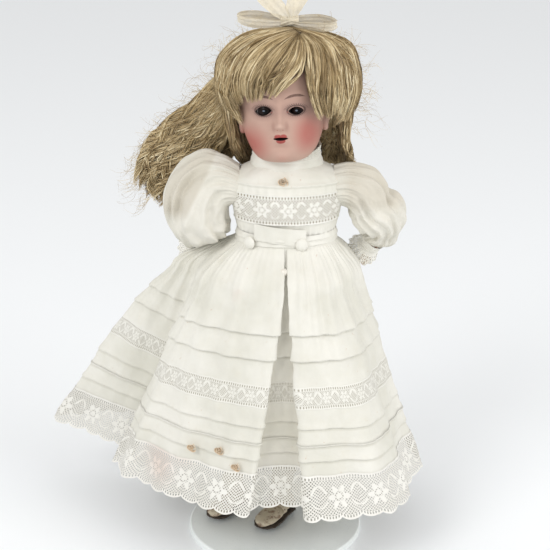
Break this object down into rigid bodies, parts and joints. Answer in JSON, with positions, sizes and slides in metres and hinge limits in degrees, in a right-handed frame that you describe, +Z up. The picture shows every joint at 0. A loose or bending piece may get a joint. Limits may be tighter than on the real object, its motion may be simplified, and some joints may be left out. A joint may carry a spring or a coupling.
{
  "type": "bisque shoulder head doll on a stand",
  "caption": "Antique style bisque shoulder head doll in a long gathered cotton gown, held by a waist clip on a round base display stand.",
  "frame": {"origin": "centre of the stand base's underside, on the floor", "axes": "+Z up, -Y the way the doll faces, -X the doll's right hand"},
  "size_m": [0.312, 0.1887, 0.4607],
  "materials": {
    "stand_paint": "pale blue grey enamel, satin",
    "steel": "drawn steel wire and tube",
    "bisque": "unglazed tinted bisque, painted cheeks and lips",
    "card": "pasteboard",
    "eye_glass": "solid dark brown glass",
    "lead": "dull cast lead",
    "plaster": "plaster of Paris",
    "kid": "stuffed kid leather",
    "gown": "ivory cotton batiste, aged",
    "lace": "cotton lace",
    "ribbon": "sheer cream ribbon",
    "pearl": "pearl bead",
    "stocking": "knitted cotton",
    "shoe_leather": "tan kid leather, scuffed",
    "sole_leather": "dark sole leather",
    "hair": "ash blonde mohair"
  },
  "bodies": {
    "stand": {"stand_base": "stand_paint", "stand_socket": "steel", "stand_tube": "steel", "stand_collar": "steel", "stand_thumb_screw": "steel"},
    "eyes": {"right_eyeball": "eye_glass", "left_eyeball": "eye_glass", "eye_bridge": "steel", "eye_weight": "lead"},
    "right_arm": {"right_upper_arm": "kid", "right_forearm": "bisque", "right_sleeve": "gown", "right_cuff": "lace"},
    "right_thigh": {"right_thigh": "kid", "right_knee_rivet": "steel"},
    "right_shin": {"right_shin": "kid", "right_stocking": "stocking", "right_shoe": "shoe_leather", "right_sole": "sole_leather"},
    "left_arm": {"left_upper_arm": "kid", "left_forearm": "bisque", "left_sleeve": "gown", "left_cuff": "lace"},
    "left_thigh": {"left_thigh": "kid", "left_knee_rivet": "steel"},
    "left_shin": {"left_shin": "kid", "left_stocking": "stocking", "left_shoe": "shoe_leather", "left_sole": "sole_leather"},
    "doll": {"stand_rod": "steel", "clip_block": "steel", "waist_clip": "steel", "shoulder_head": "bisque", "pate": "card", "right_eye_pivot": "plaster", "left_eye_pivot": "plaster", "torso": "kid", "bodice": "gown", "chest_lace": "lace", "belt": "gown", "waist_strip": "gown", "collar": "gown", "back_buttons": "pearl", "yoke_rosette": "ribbon", "skirt": "gown", "hem_lace": "lace", "skirt_rosettes": "ribbon", "covered_buttons": "gown", "pearl_button": "pearl", "wig_fringe": "hair", "wig_crown": "hair", "wig_back": "hair", "wig_long_lock": "hair", "bow_knot": "ribbon", "bow_loops": "ribbon", "bow_tails": "ribbon", "right_shoulder_rivet": "steel", "right_hip_rivet": "steel", "left_shoulder_rivet": "steel", "left_hip_rivet": "steel"}
  },
  "joints": [
    {"name": "post_slide", "type": "slide", "parent": "stand", "child": "doll", "axis": [0, 0, 1], "range_m": [0, 0.03]},
    {"name": "eyes_sleep", "type": "hinge", "parent": "doll", "child": "eyes", "pos_m": [0.00559, -0.02377, 0.3642], "axis": [0.9956, -0.0872, 0.0348], "range_deg": [0, 50]},
    {"name": "right_shoulder", "type": "hinge", "parent": "doll", "child": "right_arm", "pos_m": [-0.041, 0, 0.3002], "axis": [1, 0, 0], "range_deg": [0, 8]},
    {"name": "left_shoulder", "type": "hinge", "parent": "doll", "child": "left_arm", "pos_m": [0.059, 0, 0.3002], "axis": [1, 0, 0], "range_deg": [0, 30]},
    {"name": "right_hip", "type": "hinge", "parent": "doll", "child": "right_thigh", "pos_m": [-0.013, 0, 0.1982], "axis": [1, 0, 0], "range_deg": [-12, 3]},
    {"name": "right_knee", "type": "hinge", "parent": "right_thigh", "child": "right_shin", "pos_m": [-0.0255, 0.009, 0.1092], "axis": [1, 0, 0], "range_deg": [0, 30]},
    {"name": "left_hip", "type": "hinge", "parent": "doll", "child": "left_thigh", "pos_m": [0.031, 0, 0.1982], "axis": [1, 0, 0], "range_deg": [-12, 3]},
    {"name": "left_knee", "type": "hinge", "parent": "left_thigh", "child": "left_shin", "pos_m": [0.017, 0.0005, 0.1092], "axis": [1, 0, 0], "range_deg": [0, 30]}
  ]
}
